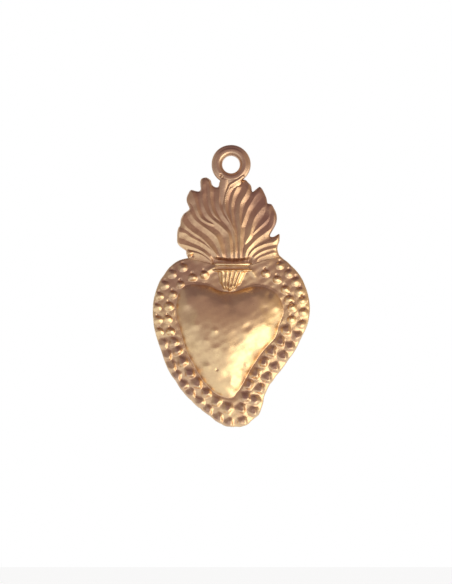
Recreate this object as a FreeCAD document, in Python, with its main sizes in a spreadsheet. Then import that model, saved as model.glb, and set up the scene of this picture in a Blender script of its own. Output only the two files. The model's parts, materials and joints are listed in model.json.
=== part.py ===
import FreeCAD, Part
import Sketcher
import math
import os

# Milagro charm: a sacred heart in raw brass, made up of four soldered pieces.
# heart_shell is the struck sheet: puffed hollow heart, beaded border and fluted neck.
# flame_fan stands on its top edge, collar_band hides their joint and hanging_ring
# is let into the top of the flames, with its tang lapped over them.
#
# Millimetres. X to the right, Z up, the front of the charm looks towards -Y.
# The origin is the middle of the hanging hole, halfway through the ring.

doc = FreeCAD.newDocument("MilagroCharm")
sizes = doc.addObject("Spreadsheet::Sheet", "Sizes")

DRIVING_SIZES = (
    ("sheet", 0.5, "thickness of the struck sheet"),
    ("solder_gap", 0.03, "room for solder round the ring and its tang"),
    ("cut_overrun", 0.4, "how far a cutting tool passes the face it cuts"),
    ("foot_bury", 0.12, "how deep raised work is rooted in the sheet"),
    ("hole_radius", 1.1, "hanging hole"),
    ("hole_wall", 0.8, "straight wall of the hanging hole"),
    ("ring_radius", 2.5, "outer radius of the ring"),
    ("ring_thickness", 1.2, "ring, back to front"),
    ("ring_bevel", 0.3, "width of the bevel round the hole"),
    ("ring_crown_radius", 0.8, "rounding of the ring's front"),
    ("ring_crown_out", 1.76, "radius at which the ring is thickest"),
    ("tang_width", 2.5, "tang of the ring where it leaves the ring"),
    ("tang_rise", 0.5, "crest of the tang over the sheet"),
    ("ring_above", 1.5, "hanging hole over the top of the flames"),
    ("collar_shift", 0.17, "collar lies this far right of the hole"),
    ("collar_length", 5.05, "collar bar"),
    ("collar_above", 0.3, "collar above the joint line"),
    ("collar_below", 0.6, "collar below the joint line"),
    ("collar_proud", 1.05, "collar bar over the sheet"),
    ("collar_bead_radius", 0.24, "round moulding along the collar"),
    ("collar_bow", 0.35, "how far the bar bows forward in the middle"),
    ("heart_width", 20.1, "border, side to side"),
    ("heart_drop", 20.8, "from the joint down to the tail"),
    ("left_shoulder_reach", 5.45, "end of the joint, left"),
    ("left_shoulder_height", 0.8, "end of the joint, left"),
    ("right_shoulder_reach", 6.2, "end of the joint, right"),
    ("right_shoulder_height", 1.1, "end of the joint, right"),
    ("border_side", 3.05, "border, from its side to the puffed heart"),
    ("border_top", 2.28, "from the joint down to the lobes of the puffed heart"),
    ("border_tail", 3.65, "border, from the point of the puffed heart to the tail"),
    ("puff_rise", 2.6, "puffed heart over the sheet"),
    ("neck_width", 3.5, "fluted neck under the collar"),
    ("neck_length", 2.9, "fluted neck under the collar"),
    ("neck_rise", 0.75, "fluted neck over the sheet"),
    ("neck_point_width", 0.9, "fluted neck where it ends in the cleft"),
    ("flute_depth", 0.16, "valley between two ridges of the neck"),
    ("bead_width", 1.06, "one raised bead"),
    ("bead_rise", 0.38, "one raised bead over the sheet"),
    ("bead_inset", 0.78, "outer row of beads, in from the edge"),
    ("bead_row_gap", 1.48, "between the two rows of beads"),
    ("fan_width", 13.3, "flames, side to side"),
    ("fan_height", 11.2, "flames, joint to the highest tip"),
    ("tongue_width", 1.5, "one flame tongue at its widest"),
    ("tongue_rise", 0.6, "crest of a flame tongue over the sheet"),
)

for row, (alias, value, meaning) in enumerate(DRIVING_SIZES, start=1):
    sizes.set(f"A{row}", meaning)
    sizes.set(f"B{row}", str(value))
    sizes.setAlias(f"B{row}", alias)
doc.recompute()

FLUTES = 6
OUTER_BEADS = 34
INNER_BEADS = 30
BEAD_FACETS = 7
MOULDING_FACETS = 6
HOLLOW_FACETS = 24
ROW_STEPS = 1200

# A bead narrows to these shares of its width at these shares of its rise.
BEAD_TIER_SHARES = ((1, 0), (0.8, 0.6), (0.34, 1))

# Groove under the collar's round moulding: how far back and how far down it
# starts, as shares of the moulding's radius.
GROOVE_SHARES = (1.5, 2.2)

# Outline of the border, clockwise from the right shoulder to the left one:
# shares of heart_width to the right and of heart_drop down from the joint.
BORDER_SHARES = (
    (0.472, 0.133), (0.503, 0.292), (0.451, 0.439), (0.359, 0.586),
    (0.251, 0.735), (0.209, 0.824), (0.161, 0.940), (0.038, 1.000),
    (-0.089, 0.965), (-0.259, 0.830), (-0.386, 0.668), (-0.475, 0.439),
    (-0.497, 0.274), (-0.449, 0.097), (-0.367, -0.002),
)

# Foot of the puffed heart, from the cleft round by the left lobe: shares of the
# width and height that the border leaves for it, from its crown.
PUFF_SHARES = (
    (-0.009, 0.325), (-0.240, 0.408), (-0.462, 0.359), (-0.495, 0.120),
    (-0.371, -0.205), (-0.226, -0.444), (0.000, -0.590), (0.136, -0.427),
    (0.350, -0.110), (0.498, 0.170), (0.415, 0.350), (0.200, 0.398),
)

# The puffed heart narrows to these shares of its foot as it rises.
PUFF_LEVEL_SHARES = (0.982, 0.890, 0.720, 0.480, 0.180)
HOLLOW_LEVEL_SHARES = (1.0, 0.86, 0.5)
CROWN_DOWN_SHARE = 0.41
CROWN_ROUNDNESS_SHARE = 0.8

# Sheet behind all the flames, from the left shoulder over the top to the right one:
# shares of fan_width and fan_height from the joint.
WEB_SHARES = (
    (-0.448, 0.156), (-0.490, 0.241), (-0.500, 0.340), (-0.486, 0.445),
    (-0.448, 0.559), (-0.395, 0.633), (-0.400, 0.741), (-0.362, 0.815),
    (-0.300, 0.832), (-0.260, 0.889), (-0.195, 0.906), (-0.143, 0.877),
    (-0.116, 0.934), (-0.057, 0.980), (0.086, 0.991), (0.148, 0.957),
    (0.176, 0.900), (0.210, 0.826), (0.267, 0.809), (0.319, 0.735),
    (0.352, 0.693), (0.400, 0.616), (0.415, 0.514), (0.395, 0.400),
    (0.371, 0.320), (0.425, 0.285), (0.443, 0.207), (0.457, 0.150),
)

# Flame tongues from root to tip, shares of fan_width and fan_height from the joint,
# then how wide the tongue is at each of the four places, as shares of tongue_width.
TONGUE_SHARES = (
    (((-0.181, 0.048), (-0.276, 0.082), (-0.352, 0.110), (-0.420, 0.122)), (0.3, 0.5, 0.5, 0.45)),
    (((-0.152, 0.065), (-0.267, 0.173), (-0.390, 0.235), (-0.510, 0.310)), (0.3, 0.7, 1.0, 0.9)),
    (((-0.124, 0.059), (-0.267, 0.275), (-0.400, 0.377), (-0.457, 0.560)), (0.3, 0.8, 1.1, 0.7)),
    (((-0.090, 0.053), (-0.190, 0.343), (-0.333, 0.514), (-0.378, 0.840)), (0.3, 0.8, 1.1, 0.8)),
    (((-0.052, 0.053), (-0.162, 0.389), (-0.267, 0.582), (-0.305, 0.795)), (0.3, 0.6, 0.7, 0.5)),
    (((-0.014, 0.053), (-0.076, 0.400), (-0.219, 0.627), (-0.232, 0.985)), (0.3, 0.8, 0.9, 0.75)),
    (((0.019, 0.053), (-0.010, 0.366), (-0.143, 0.582), (-0.190, 0.832)), (0.3, 0.6, 0.7, 0.4)),
    (((0.076, 0.053), (0.086, 0.389), (0.086, 0.616), (0.176, 0.890)), (0.3, 0.7, 0.8, 0.6)),
    (((0.105, 0.053), (0.133, 0.389), (0.171, 0.627), (0.262, 0.870)), (0.3, 0.9, 1.1, 0.9)),
    (((0.133, 0.059), (0.210, 0.320), (0.340, 0.468), (0.376, 0.680)), (0.3, 0.9, 1.2, 0.9)),
    (((0.152, 0.059), (0.219, 0.218), (0.305, 0.298), (0.381, 0.377)), (0.3, 0.6, 0.7, 0.5)),
    (((0.171, 0.048), (0.248, 0.184), (0.352, 0.264), (0.462, 0.340)), (0.3, 0.7, 0.8, 0.5)),
    (((0.190, 0.036), (0.267, 0.116), (0.362, 0.173), (0.452, 0.205)), (0.3, 0.5, 0.6, 0.5)),
    (((0.200, 0.025), (0.295, 0.070), (0.390, 0.116), (0.462, 0.139)), (0.3, 0.4, 0.5, 0.4)),
)
TONGUE_RISE_SHARES = (0.35, 0.9, 1.0, 0.5)

# A tongue rounds off after this share of its length, in so many steps.
TIP_SHARE = 0.86
TIP_STEPS = 3
TIP_BLUNT_SHARE = 0.2

# Tang of the ring, from the ring down over the flames, in the same shares.
TANG_SHARES = ((0.010, 0.980), (-0.010, 0.877), (-0.048, 0.730), (-0.038, 0.593), (-0.010, 0.480))
TANG_WIDTH_SHARES = (1.0, 0.95, 0.55, 0.4, 0.15)
TANG_RISE_SHARES = (1.0, 0.9, 0.8, 0.7, 0.3)


def size(alias):
    """Value of one driving size, in millimetres."""
    return float(sizes.get(alias))


def at(x, z, forward=0.0):
    """A point of the charm, forward being the height over its back plane."""
    return FreeCAD.Vector(x, -forward, z)


def keep(kind, name, **properties):
    """Adds an object to the document and sets its properties."""
    made = doc.addObject(kind, name)
    for key, value in properties.items():
        setattr(made, key, value)
    return made


def keep_shape(name, shape):
    """Adds an object that holds a drawn outline or a free-form solid."""
    return keep("Part::Feature", name, Shape=shape)


def bind(made, expressions):
    """Ties properties of an object to the sheet of sizes."""
    for key, text in expressions.items():
        made.setExpression(key, text)
    return made


def seat(piece):
    """Sets a piece that was drawn from the joint on its place below the hanging hole."""
    bind(piece, {
        "Placement.Base.y": "Sizes.ring_thickness / 2",
        "Placement.Base.z": "-Sizes.fan_height - Sizes.ring_above",
    })


def plate(name, outline):
    """A flat plate as thick as the sheet, from an outline in the back plane."""
    made = keep("Part::Extrusion", name, Base=outline, DirMode="Custom", Solid=True)
    made.Dir = FreeCAD.Vector(0, -1, 0)
    return bind(made, {"LengthFwd": "Sizes.sheet"})


def spline(points, closed=False):
    """A smooth curve through the points."""
    curve = Part.BSplineCurve()
    curve.interpolate(Points=points, PeriodicFlag=closed)
    return curve


def lines(points):
    """Straight edges from point to point."""
    return [Part.LineSegment(a, b).toShape() for a, b in zip(points, points[1:])]


def left_shoulder():
    return at(-size("left_shoulder_reach"), size("left_shoulder_height"))


def right_shoulder():
    return at(size("right_shoulder_reach"), size("right_shoulder_height"))


def joint_points():
    """Corners of the soldered joint between heart and flames, left to right."""
    half = size("collar_length") / 2
    middle = size("collar_shift")
    return [left_shoulder(), at(middle - half, 0), at(middle + half, 0), right_shoulder()]


def border_curve():
    """Free edge of the heart's border, from the right shoulder to the left one."""
    width = size("heart_width")
    drop = size("heart_drop")
    points = [at(across * width, -down * drop) for across, down in BORDER_SHARES]
    return spline([right_shoulder(), *points, left_shoulder()])


def puff_outline(share, inwards, forward, facets):
    """Outline of the puffed heart at one level, rounder the nearer it is to the crown."""
    width = size("heart_width") - 2 * size("border_side")
    height = size("heart_drop") - size("border_top") - size("border_tail")
    crown = -size("border_top") - CROWN_DOWN_SHARE * height
    foot = [(across * width, up * height) for across, up in PUFF_SHARES]
    mean_reach = sum(math.hypot(x, z) for x, z in foot) / len(foot)
    roundness = CROWN_ROUNDNESS_SHARE * (1 - share)
    points = []
    for x, z in foot:
        reach = math.hypot(x, z)
        drawn = (reach * (1 - roundness) + mean_reach * roundness - inwards) * share / reach
        points.append(at(x * drawn, crown + z * drawn, forward))
    curve = spline(points, closed=True)
    if not facets:
        return Part.Wire([curve.toShape()])
    corners = curve.discretize(facets + 1)[:-1]
    return Part.makePolygon([*corners, corners[0]])


def puff_loft(name, levels, inwards, foot, lowest, facets=0):
    """The puffed heart as a loft from its foot to its crown, smooth or with so many sides."""
    rise = size("puff_rise")
    drawn = [keep_shape(f"{name}_foot", puff_outline(levels[0], inwards, lowest, facets))]
    for number, share in enumerate(levels, start=1):
        forward = foot + rise * math.sqrt(1 - share * share)
        drawn.append(keep_shape(f"{name}_{number}", puff_outline(share, inwards, forward, facets)))
    return keep("Part::Loft", name, Sections=drawn, Solid=True, Ruled=True)


def neck_outline(width, rise, z, flute_depth):
    """Half-round section of the neck at one height, ridged with its flutes."""
    foot = size("sheet")
    floor = foot - size("foot_bury")
    middle = size("collar_shift") / 2
    points = []
    for number in range(2 * FLUTES + 1):
        turn = math.pi * number / (2 * FLUTES)
        drawn_in = flute_depth if number % 2 == 0 else 0
        x = middle - math.cos(turn) * (width / 2 - drawn_in)
        points.append(at(x, z, foot + math.sin(turn) * (rise - drawn_in)))
    right_low = at(points[-1].x, z, floor)
    left_low = at(points[0].x, z, floor)
    return Part.Wire(lines([*points, right_low, left_low, points[0]]))


def neck_loft():
    """Fluted neck that runs from the collar down into the cleft of the heart."""
    start = -size("collar_below")
    top = neck_outline(size("neck_width"), size("neck_rise"), start, size("flute_depth"))
    share = size("neck_point_width") / size("neck_width")
    bottom = neck_outline(
        size("neck_point_width"), size("neck_rise") * (1 + share) / 2,
        start - size("neck_length"), size("flute_depth") * share,
    )
    drawn = [keep_shape("neck_top", top), keep_shape("neck_point", bottom)]
    return keep("Part::Loft", "neck", Sections=drawn, Solid=True, Ruled=True)


def hollow_outline(width, rise, z):
    """Half-elliptical section of the hollow behind the neck."""
    middle = size("collar_shift") / 2
    arch = []
    for number in range(FLUTES + 1):
        turn = math.pi * number / FLUTES
        arch.append(at(middle - math.cos(turn) * width / 2, z, math.sin(turn) * rise))
    low = -size("cut_overrun")
    right = at(middle + width / 2, z, low)
    left = at(middle - width / 2, z, low)
    return Part.Wire(lines([*arch, right, left, arch[0]]))


def neck_hollow():
    """Groove struck up behind the neck, which fades out above the cleft."""
    wall = size("sheet")
    start = -size("collar_below") - wall
    top = hollow_outline(size("neck_width") - 2 * wall, size("neck_rise"), start)
    end = -size("collar_below") - size("neck_length")
    bottom = hollow_outline(size("neck_point_width") / 2, wall / 2, end)
    drawn = [keep_shape("neck_hollow_top", top), keep_shape("neck_hollow_point", bottom)]
    return keep("Part::Loft", "neck_hollow", Sections=drawn, Solid=True, Ruled=True)


def bead_places(inset, count):
    """Evenly spaced centres of one row of beads, inside the free edge of the border."""
    curve = border_curve()
    first = curve.FirstParameter
    last = curve.LastParameter
    row = []
    for step in range(ROW_STEPS + 1):
        where = first + (last - first) * step / ROW_STEPS
        along = curve.tangent(where)[0]
        row.append(curve.value(where) + FreeCAD.Vector(along.z, 0, -along.x) * inset)
    travelled = [0.0]
    for a, b in zip(row, row[1:]):
        travelled.append(travelled[-1] + a.distanceToPoint(b))
    pitch = travelled[-1] / count
    places = []
    for number in range(count):
        wanted = pitch * (number + 0.5)
        places.append(next(spot for spot, run in zip(row, travelled) if run >= wanted))
    return places


def bead_solid():
    """One raised bead, punched with a faceted round point and rooted in the sheet."""
    tiers = []
    levels = [(1, -size("foot_bury"))]
    levels += [(out_share, up_share * size("bead_rise")) for out_share, up_share in BEAD_TIER_SHARES]
    for out_share, up in levels:
        radius = out_share * size("bead_width") / 2
        turns = [2 * math.pi * n / BEAD_FACETS for n in range(BEAD_FACETS)]
        tiers.append([at(radius * math.cos(turn), radius * math.sin(turn), up) for turn in turns])
    faces = [Part.Face(Part.makePolygon([*tier, tier[0]])) for tier in (tiers[0], tiers[-1])]
    for low, high in zip(tiers, tiers[1:]):
        for n in range(BEAD_FACETS):
            nearby = (n + 1) % BEAD_FACETS
            faces.append(Part.Face(Part.makePolygon([low[n], low[nearby], high[nearby], high[n], low[n]])))
    return Part.Solid(Part.Shell(faces))


def beads(name, inset, count):
    """One row of raised beads on the border."""
    row = []
    for number, spot in enumerate(bead_places(inset, count), start=1):
        bead = keep_shape(f"{name}_{number:02d}", bead_solid())
        bead.Placement.Base = spot
        bead.setExpression("Placement.Base.y", "-Sizes.sheet")
        row.append(bead)
    return row


def make_heart_shell():
    """Struck sheet: border with two rows of beads, puffed hollow heart, fluted neck."""
    edge = border_curve().toShape()
    outline = Part.Wire([edge, *lines(joint_points())])
    border = plate("border", keep_shape("border_outline", outline))
    sheet = size("sheet")
    puff = puff_loft("puff", PUFF_LEVEL_SHARES, 0, sheet, sheet - size("foot_bury"))
    front = keep("Part::MultiFuse", "struck_front", Shapes=[border, puff, neck_loft()])
    below = -size("cut_overrun")
    hollow = puff_loft("puff_hollow", HOLLOW_LEVEL_SHARES, sheet, 0, below, HOLLOW_FACETS)
    back = keep("Part::MultiFuse", "struck_back", Shapes=[hollow, neck_hollow()])
    struck = keep("Part::Cut", "struck_sheet", Base=front, Tool=back)
    rows = beads("outer_bead", size("bead_inset"), OUTER_BEADS)
    rows += beads("inner_bead", size("bead_inset") + size("bead_row_gap"), INNER_BEADS)
    shell = keep("Part::MultiFuse", "heart_shell", Shapes=[struck, *rows])
    seat(shell)
    return shell


def ridge(path, widths, rises, foot):
    """A tapered ridge with a roof-shaped section that follows a curved path."""
    curve = spline(path)
    knots = [curve.parameter(point) for point in path]
    stations = [(knots[0], widths[0], rises[0])]
    for n in range(len(path) - 2):
        for share in (0.5, 1):
            stations.append(tuple(a[n] + (a[n + 1] - a[n]) * share for a in (knots, widths, rises)))
    for step in range(TIP_STEPS + 1):
        turn = 0.5 * math.pi * step / TIP_STEPS
        where = knots[-1] * (TIP_SHARE + (1 - TIP_SHARE) * math.sin(turn))
        left_over = max(math.cos(turn), TIP_BLUNT_SHARE)
        stations.append((where, widths[-1] * left_over, rises[-1] * left_over))
    sheet = size("sheet")
    front = FreeCAD.Vector(0, -sheet, 0)
    back = FreeCAD.Vector(0, -foot, 0)
    sections = []
    for where, width, rise in stations:
        along = curve.tangent(where)[0]
        aside = FreeCAD.Vector(along.z, 0, -along.x) * (width / 2)
        middle = curve.value(where)
        crest = FreeCAD.Vector(0, -sheet - rise, 0)
        corners = [middle - aside + back, middle - aside + front, middle + crest,
                   middle + aside + front, middle + aside + back]
        sections.append(Part.makePolygon([*corners, corners[0]]))
    return Part.makeLoft(sections, True, True)


def fan_point(across, up):
    """A place on the flames, from shares of their width and height."""
    return at(across * size("fan_width"), up * size("fan_height"))


def tongues():
    """Flame tongues, each a ridge as thick as the sheet at its sides."""
    made = []
    for number, (path, widths) in enumerate(TONGUE_SHARES, start=1):
        wide = [share * size("tongue_width") for share in widths]
        rises = [share * size("tongue_rise") for share in TONGUE_RISE_SHARES]
        shape = ridge([fan_point(*place) for place in path], wide, rises, 0)
        made.append(keep_shape(f"tongue_{number:02d}", shape))
    return made


def tang_ridge():
    """Tang of the ring, a ridge that lies on the front of the sheet."""
    wide = [share * size("tang_width") for share in TANG_WIDTH_SHARES]
    rises = [share * size("tang_rise") for share in TANG_RISE_SHARES]
    return ridge([fan_point(*place) for place in TANG_SHARES], wide, rises, size("sheet"))


def tang_bed():
    """Straight-sided bed that the tang lies in, cut from the crests of the flames."""
    sheet = size("sheet")
    gap = size("solder_gap")
    curve = spline([fan_point(*place) for place in TANG_SHARES])
    left = []
    right = []
    for place, share in zip(TANG_SHARES, TANG_WIDTH_SHARES):
        middle = fan_point(*place)
        along = curve.tangent(curve.parameter(middle))[0]
        aside = FreeCAD.Vector(along.z, 0, -along.x) * (share * size("tang_width") / 2 + gap)
        left.append(middle - aside + FreeCAD.Vector(0, -sheet, 0))
        right.append(middle + aside + FreeCAD.Vector(0, -sheet, 0))
    sides = [spline(left).toShape(), spline(right[::-1]).toShape()]
    ends = lines([left[-1], right[-1]]) + lines([right[0], left[0]])
    face = Part.Face(Part.Wire([sides[0], ends[0], sides[1], ends[1]]))
    return face.extrude(FreeCAD.Vector(0, -size("tongue_rise") - size("cut_overrun"), 0))


def make_flame_fan():
    """Struck flames: a thin web with curved tongues raised on it."""
    joint = joint_points()
    web_points = [joint[0], *(fan_point(*place) for place in WEB_SHARES), joint[-1]]
    web_outline = Part.Wire([spline(web_points).toShape(), *lines(joint[::-1])])
    web = plate("flame_web", keep_shape("flame_web_outline", web_outline))
    solid = keep("Part::MultiFuse", "struck_flames", Shapes=[web, *tongues()])
    through = "Sizes.sheet + Sizes.tongue_rise + 2 * Sizes.cut_overrun"

    behind = -size("cut_overrun")
    reach = size("fan_width")
    left = joint[0].z
    right = joint[-1].z
    floor = -size("fan_height")
    below = [(-reach, left), *((corner.x, corner.z) for corner in joint), (reach, right),
             (reach, floor), (-reach, floor), (-reach, left)]
    trim_face = Part.Face(Part.makePolygon([at(x, z, behind) for x, z in below]))
    trim = keep("Part::Extrusion", "joint_trim", Base=keep_shape("joint_trim_outline", trim_face),
                DirMode="Custom", Dir=FreeCAD.Vector(0, -1, 0), Solid=True)
    bind(trim, {"LengthFwd": through})

    notch = keep("Part::Cylinder", "ring_notch")
    notch.Placement.Rotation = FreeCAD.Rotation(FreeCAD.Vector(1, 0, 0), 90)
    bind(notch, {
        "Radius": "Sizes.ring_radius + Sizes.solder_gap",
        "Height": through,
        "Placement.Base.y": "Sizes.cut_overrun",
        "Placement.Base.z": "Sizes.fan_height + Sizes.ring_above",
    })

    root = bind(keep("Part::Box", "collar_seat"), {
        "Length": "Sizes.collar_length + 2 * Sizes.solder_gap",
        "Width": "Sizes.tongue_rise + Sizes.cut_overrun",
        "Height": "2 * Sizes.collar_above",
        "Placement.Base.x": "Sizes.collar_shift - Sizes.collar_length / 2 - Sizes.solder_gap",
        "Placement.Base.y": "-Sizes.sheet - Sizes.tongue_rise - Sizes.cut_overrun",
        "Placement.Base.z": "-Sizes.collar_above",
    })

    tools = keep("Part::MultiFuse", "flame_cuts",
                 Shapes=[trim, notch, root, keep_shape("tang_bed", tang_bed())])
    fan = keep("Part::Cut", "flame_fan", Base=solid, Tool=tools)
    seat(fan)
    return fan


def plane_of(body, role):
    """One of a body's own origin planes or axes."""
    return next(feature for feature in body.Origin.OriginFeatures if feature.Role == role)


def sketch_on(body, role, name):
    """A new sketch on one of a body's own origin planes."""
    sketch = body.newObject("Sketcher::SketchObject", name)
    sketch.AttachmentSupport = [(plane_of(body, role), "")]
    sketch.MapMode = "FlatFace"
    return sketch


def make_hanging_ring():
    """Domed ring, turned section, with the tang that laps over the flames."""
    body = doc.addObject("PartDesign::Body", "ring_body")
    sketch = sketch_on(body, "XY_Plane", "ring_section")
    back = size("ring_thickness") / 2
    hole = size("hole_radius")
    outer = size("ring_radius")
    crown = size("ring_crown_radius")
    crown_out = size("ring_crown_out")
    crown_y = crown - back
    bevel = hole + size("ring_bevel")
    rim_y = crown_y - math.sqrt(crown ** 2 - (outer - crown_out) ** 2)
    bevel_y = crown_y - math.sqrt(crown ** 2 - (crown_out - bevel) ** 2)
    wall_y = back - size("hole_wall")
    centre = FreeCAD.Vector(crown_out, crown_y, 0)
    start = math.atan2(bevel_y - crown_y, bevel - crown_out)
    end = math.atan2(rim_y - crown_y, outer - crown_out)
    corners = [FreeCAD.Vector(bevel, bevel_y, 0), FreeCAD.Vector(hole, wall_y, 0),
               FreeCAD.Vector(hole, back, 0), FreeCAD.Vector(outer, back, 0),
               FreeCAD.Vector(outer, rim_y, 0)]
    for a, b in zip(corners, corners[1:]):
        sketch.addGeometry(Part.LineSegment(a, b), False)
    circle = Part.Circle(centre, FreeCAD.Vector(0, 0, 1), crown)
    sketch.addGeometry(Part.ArcOfCircle(circle, start, end), False)
    link_sketch(sketch, back)
    turned = body.newObject("PartDesign::Revolution", "ring_turned")
    turned.Profile = sketch
    turned.ReferenceAxis = (sketch, ["V_Axis"])
    turned.Angle = 360
    body.Tip = turned

    tang = keep_shape("tang", tang_ridge())
    seat(tang)
    bore = keep("Part::Cylinder", "hole_kept_clear")
    bore.Placement.Rotation = FreeCAD.Rotation(FreeCAD.Vector(1, 0, 0), 90)
    bind(bore, {
        "Radius": "Sizes.hole_radius + Sizes.ring_bevel",
        "Height": "2 * Sizes.ring_thickness",
        "Placement.Base.y": "Sizes.ring_thickness",
    })
    clear_tang = keep("Part::Cut", "tang_clear_of_hole", Base=tang, Tool=bore)
    return keep("Part::MultiFuse", "hanging_ring", Shapes=[body, clear_tang])


def link_sketch(sketch, back):
    """Ties the ring's section to the sheet of sizes."""
    bevel, hole, flat_back, rim, arc = range(5)
    for line in (bevel, hole, flat_back):
        sketch.addConstraint(Sketcher.Constraint("Coincident", line, 2, line + 1, 1))
    sketch.addConstraint(Sketcher.Constraint("Coincident", rim, 2, arc, 2))
    sketch.addConstraint(Sketcher.Constraint("Coincident", bevel, 1, arc, 1))
    sketch.addConstraint(Sketcher.Constraint("Vertical", hole))
    sketch.addConstraint(Sketcher.Constraint("Horizontal", flat_back))
    sketch.addConstraint(Sketcher.Constraint("Vertical", rim))
    named = (
        ("back", ("DistanceY", -1, 1, hole, 2, back), "Sizes.ring_thickness / 2"),
        ("hole", ("DistanceX", -1, 1, hole, 2, size("hole_radius")), "Sizes.hole_radius"),
        ("outer", ("DistanceX", -1, 1, flat_back, 2, size("ring_radius")), "Sizes.ring_radius"),
        ("wall", ("DistanceY", hole, 1, hole, 2, size("hole_wall")), "Sizes.hole_wall"),
        ("bevel", ("DistanceX", hole, 1, bevel, 1, size("ring_bevel")), "Sizes.ring_bevel"),
        ("crown", ("Radius", arc, size("ring_crown_radius")), "Sizes.ring_crown_radius"),
        ("crown_out", ("DistanceX", -1, 1, arc, 3, size("ring_crown_out")), "Sizes.ring_crown_out"),
        ("crown_up", ("DistanceY", -1, 1, arc, 3, size("ring_crown_radius") - back),
         "Sizes.ring_crown_radius - Sizes.ring_thickness / 2"),
    )
    for name, terms, expression in named:
        index = sketch.addConstraint(Sketcher.Constraint(*terms))
        sketch.renameConstraint(index, name)
        sketch.setExpression(f"Constraints.{name}", expression)


def make_collar_band():
    """Moulded bar that hides the joint, bowed forward round the neck."""
    proud = size("collar_proud")
    bow = size("collar_bow")
    length = size("collar_length")
    bead = size("collar_bead_radius")
    above = size("collar_above")
    below = size("collar_below")
    turn_radius = (length ** 2 / 4 + bow ** 2) / (2 * bow)
    inner = turn_radius - proud
    groove_back, groove_down = GROOVE_SHARES
    groove = turn_radius - groove_back * bead
    nose = [(turn_radius - bead * (1 - math.sin(turn)), above - bead * (1 - math.cos(turn)))
            for turn in (math.pi * n / MOULDING_FACETS for n in range(MOULDING_FACETS + 1))]
    profile = [(inner, -below), (inner, above), *nose, (groove, above - groove_down * bead),
               (groove, -below)]
    corners = [FreeCAD.Vector(out, 0, up) for out, up in profile]
    edges = lines([*corners, corners[0]])
    section = keep_shape("collar_section", Part.Face(Part.Wire(edges)))
    half_turn = math.degrees(math.asin(length / 2 / turn_radius))
    section.Placement = FreeCAD.Placement(
        FreeCAD.Vector(0, 0, 0), FreeCAD.Rotation(FreeCAD.Vector(0, 0, 1), -90 - half_turn)
    )
    bar = keep("Part::Revolution", "collar_bar", Source=section, Axis=FreeCAD.Vector(0, 0, 1),
               Angle=2 * half_turn, Solid=True)
    bar.Placement.Base = FreeCAD.Vector(0, turn_radius - size("sheet") - proud, 0)
    behind = bind(keep("Part::Box", "collar_back_trim"), {
        "Length": "2 * Sizes.collar_length",
        "Width": "2 * Sizes.collar_proud",
        "Height": "2 * (Sizes.collar_above + Sizes.collar_below)",
        "Placement.Base.x": "-Sizes.collar_length",
        "Placement.Base.y": "-Sizes.sheet",
        "Placement.Base.z": "-Sizes.collar_above - Sizes.collar_below",
    })
    band = keep("Part::Cut", "collar_band", Base=bar, Tool=behind)
    band.setExpression("Placement.Base.x", "Sizes.collar_shift")
    seat(band)
    return band


def check_document():
    """Stops if any object of the document failed."""
    for made in doc.Objects:
        failed = [word for word in made.State if word in ("Invalid", "Error")]
        if failed:
            raise RuntimeError(f"{made.Name} is {failed}")


pieces = [make_heart_shell(), make_flame_fan(), make_collar_band(), make_hanging_ring()]
doc.recompute()
check_document()
for piece in pieces:
    piece.Label = piece.Name
    if piece.Shape.isNull() or not piece.Shape.isValid():
        raise RuntimeError(f"{piece.Label} has no valid shape")
    print(piece.Label, "solids", len(piece.Shape.Solids), "volume", round(piece.Shape.Volume, 3))

os.makedirs("parts", exist_ok=True)
for piece in pieces:
    piece.Shape.exportStep(f"parts/{piece.Label}.step")
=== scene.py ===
import json
import math

import bpy
import numpy as np
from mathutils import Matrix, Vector

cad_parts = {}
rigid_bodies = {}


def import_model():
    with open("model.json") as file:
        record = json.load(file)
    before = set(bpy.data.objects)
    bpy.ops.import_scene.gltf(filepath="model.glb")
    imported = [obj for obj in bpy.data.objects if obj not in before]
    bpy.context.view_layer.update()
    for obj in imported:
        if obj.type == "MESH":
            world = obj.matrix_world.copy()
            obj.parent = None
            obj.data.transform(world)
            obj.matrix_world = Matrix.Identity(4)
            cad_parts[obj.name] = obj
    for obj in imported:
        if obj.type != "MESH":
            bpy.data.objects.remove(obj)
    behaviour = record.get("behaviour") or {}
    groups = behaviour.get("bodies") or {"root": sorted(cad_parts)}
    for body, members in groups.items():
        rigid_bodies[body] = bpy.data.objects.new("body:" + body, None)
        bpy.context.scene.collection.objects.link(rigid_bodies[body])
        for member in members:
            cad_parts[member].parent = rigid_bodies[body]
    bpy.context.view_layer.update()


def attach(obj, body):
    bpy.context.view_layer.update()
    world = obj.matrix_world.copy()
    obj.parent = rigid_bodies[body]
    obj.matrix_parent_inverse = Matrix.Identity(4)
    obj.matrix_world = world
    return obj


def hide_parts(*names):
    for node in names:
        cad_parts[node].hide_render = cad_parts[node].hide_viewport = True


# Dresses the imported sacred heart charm: struck heart shell, flame fan, collar bar and
# hanging ring, all in raw brass. The origin is the middle of the hanging hole, +Z is up
# and the front of the charm looks towards -Y. Places below are in millimetres.

MM = 0.001
QUARTER = math.pi / 2

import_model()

# Where the flat back of the charm lies, and how thick the struck sheet is.
BACK_PLANE = 0.6
SHEET = 0.5


def deselect_all():
    """Clears the selection, since every operator acts on all that is selected."""
    for thing in bpy.context.view_layer.objects:
        thing.select_set(False)


def pick(piece):
    """Selects one piece alone and makes it the one that operators work on."""
    deselect_all()
    piece.select_set(True)
    bpy.context.view_layer.objects.active = piece


def name_piece(piece, name):
    """Gives a piece and its mesh one name."""
    piece.name = name
    piece.data.name = name


def read_places(mesh):
    """Where every vertex of a mesh lies, in the mesh's own units."""
    flat = np.zeros(len(mesh.vertices) * 3)
    mesh.vertices.foreach_get("co", flat)
    return flat.reshape(-1, 3)


def write_places(mesh, places):
    """Moves every vertex of a mesh to its new place."""
    mesh.vertices.foreach_set("co", places.ravel())
    mesh.update()


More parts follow.
